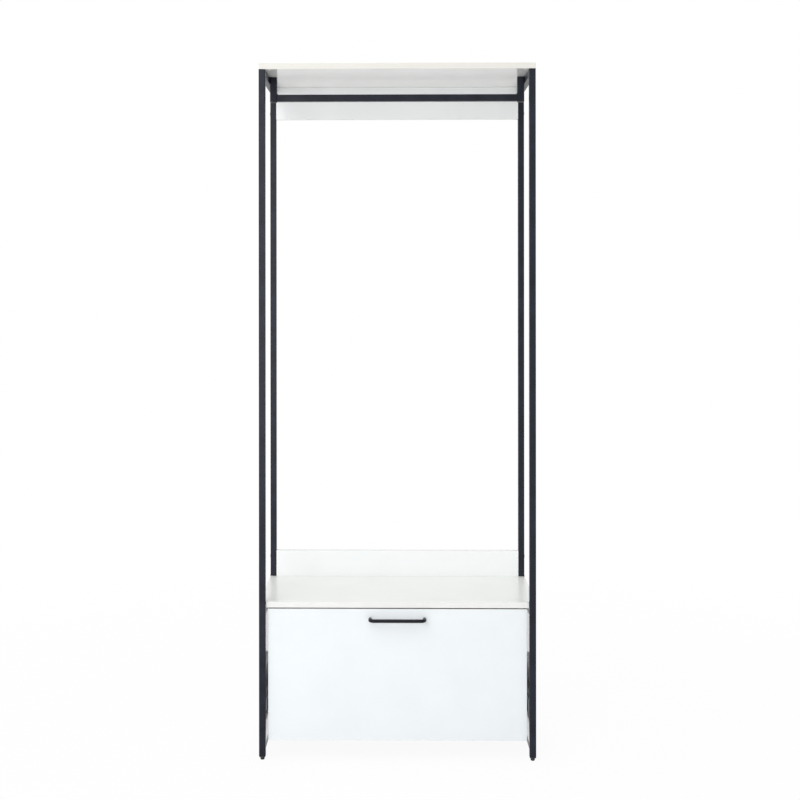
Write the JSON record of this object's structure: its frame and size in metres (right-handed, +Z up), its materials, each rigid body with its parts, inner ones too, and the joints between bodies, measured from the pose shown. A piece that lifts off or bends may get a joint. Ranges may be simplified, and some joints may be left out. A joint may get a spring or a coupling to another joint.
{
  "type": "open wardrobe unit with bench and drawer",
  "caption": "Tall open clothes unit: square tube side frames, top board, hanging rail, bench board with a deep drawer below it, bar handle.",
  "frame": {"origin": "on the floor, in the middle of the unit's bounding box, the handle included", "axes": "+X to the right as seen from the front, the front faces -Y, +Z up"},
  "size_m": [0.85, 0.4514, 2.14],
  "materials": {
    "black_powder_coat": "satin black powder coat",
    "white_board": "white coated particle board",
    "black_plastic": "moulded black plastic",
    "zinc_plated_steel": "bright zinc plate"
  },
  "bodies": {
    "frame": {"bench_board": "white_board", "bottom_back_panel": "white_board", "hanging_rail": "black_powder_coat", "left_bench_rail": "black_powder_coat", "left_bottom_rail": "black_powder_coat", "left_cabinet_member": "zinc_plated_steel", "left_drop_cap": "black_plastic", "left_front_insert": "black_plastic", "left_front_post": "black_powder_coat", "left_rail_drop": "black_powder_coat", "left_rear_insert": "black_plastic", "left_rear_post": "black_powder_coat", "left_side_panel": "white_board", "left_top_rail": "black_powder_coat", "lower_back_panel": "white_board", "right_bench_rail": "black_powder_coat", "right_bottom_rail": "black_powder_coat", "right_cabinet_member": "zinc_plated_steel", "right_drop_cap": "black_plastic", "right_front_insert": "black_plastic", "right_front_post": "black_powder_coat", "right_rail_drop": "black_powder_coat", "right_rear_insert": "black_plastic", "right_rear_post": "black_powder_coat", "right_side_panel": "white_board", "right_top_rail": "black_powder_coat", "top_board": "white_board", "upper_back_panel": "white_board"},
    "drawer": {"drawer_front": "white_board", "drawer_left_side": "white_board", "drawer_right_side": "white_board", "drawer_back": "white_board", "drawer_bottom": "white_board", "handle": "black_powder_coat", "handle_screws": "zinc_plated_steel", "left_drawer_member": "zinc_plated_steel", "right_drawer_member": "zinc_plated_steel"},
    "left_middle_member_body": {"left_middle_member": "zinc_plated_steel"},
    "left_outer_cage_body": {"left_outer_cage": "zinc_plated_steel"},
    "left_inner_cage_body": {"left_inner_cage": "zinc_plated_steel"},
    "left_front_glide_body": {"left_front_glide": "black_plastic"},
    "left_rear_glide_body": {"left_rear_glide": "black_plastic"},
    "right_middle_member_body": {"right_middle_member": "zinc_plated_steel"},
    "right_outer_cage_body": {"right_outer_cage": "zinc_plated_steel"},
    "right_inner_cage_body": {"right_inner_cage": "zinc_plated_steel"},
    "right_front_glide_body": {"right_front_glide": "black_plastic"},
    "right_rear_glide_body": {"right_rear_glide": "black_plastic"}
  },
  "joints": [
    {"name": "drawer_slide", "type": "slide", "parent": "frame", "child": "drawer", "axis": [0, -1, 0], "range_m": [0, 0.35]},
    {"name": "left_middle_member_slide", "type": "slide", "parent": "frame", "child": "left_middle_member_body", "axis": [0, -1, 0], "range_m": [0, 0.175]},
    {"name": "left_outer_cage_slide", "type": "slide", "parent": "frame", "child": "left_outer_cage_body", "axis": [0, -1, 0], "range_m": [0, 0.0875]},
    {"name": "left_inner_cage_slide", "type": "slide", "parent": "frame", "child": "left_inner_cage_body", "axis": [0, -1, 0], "range_m": [0, 0.2625]},
    {"name": "right_middle_member_slide", "type": "slide", "parent": "frame", "child": "right_middle_member_body", "axis": [0, -1, 0], "range_m": [0, 0.175]},
    {"name": "right_outer_cage_slide", "type": "slide", "parent": "frame", "child": "right_outer_cage_body", "axis": [0, -1, 0], "range_m": [0, 0.0875]},
    {"name": "right_inner_cage_slide", "type": "slide", "parent": "frame", "child": "right_inner_cage_body", "axis": [0, -1, 0], "range_m": [0, 0.2625]},
    {"name": "left_front_glide_screw", "type": "slide", "parent": "frame", "child": "left_front_glide_body", "axis": [0, 0, -1], "range_m": [0, 0.01]},
    {"name": "left_rear_glide_screw", "type": "slide", "parent": "frame", "child": "left_rear_glide_body", "axis": [0, 0, -1], "range_m": [0, 0.01]},
    {"name": "right_front_glide_screw", "type": "slide", "parent": "frame", "child": "right_front_glide_body", "axis": [0, 0, -1], "range_m": [0, 0.01]},
    {"name": "right_rear_glide_screw", "type": "slide", "parent": "frame", "child": "right_rear_glide_body", "axis": [0, 0, -1], "range_m": [0, 0.01]}
  ],
  "couplings": [
    {"joint": "left_middle_member_slide", "follows": "drawer_slide", "ratio": 0.5},
    {"joint": "left_outer_cage_slide", "follows": "drawer_slide", "ratio": 0.25},
    {"joint": "left_inner_cage_slide", "follows": "drawer_slide", "ratio": 0.75},
    {"joint": "right_middle_member_slide", "follows": "drawer_slide", "ratio": 0.5},
    {"joint": "right_outer_cage_slide", "follows": "drawer_slide", "ratio": 0.25},
    {"joint": "right_inner_cage_slide", "follows": "drawer_slide", "ratio": 0.75}
  ]
}
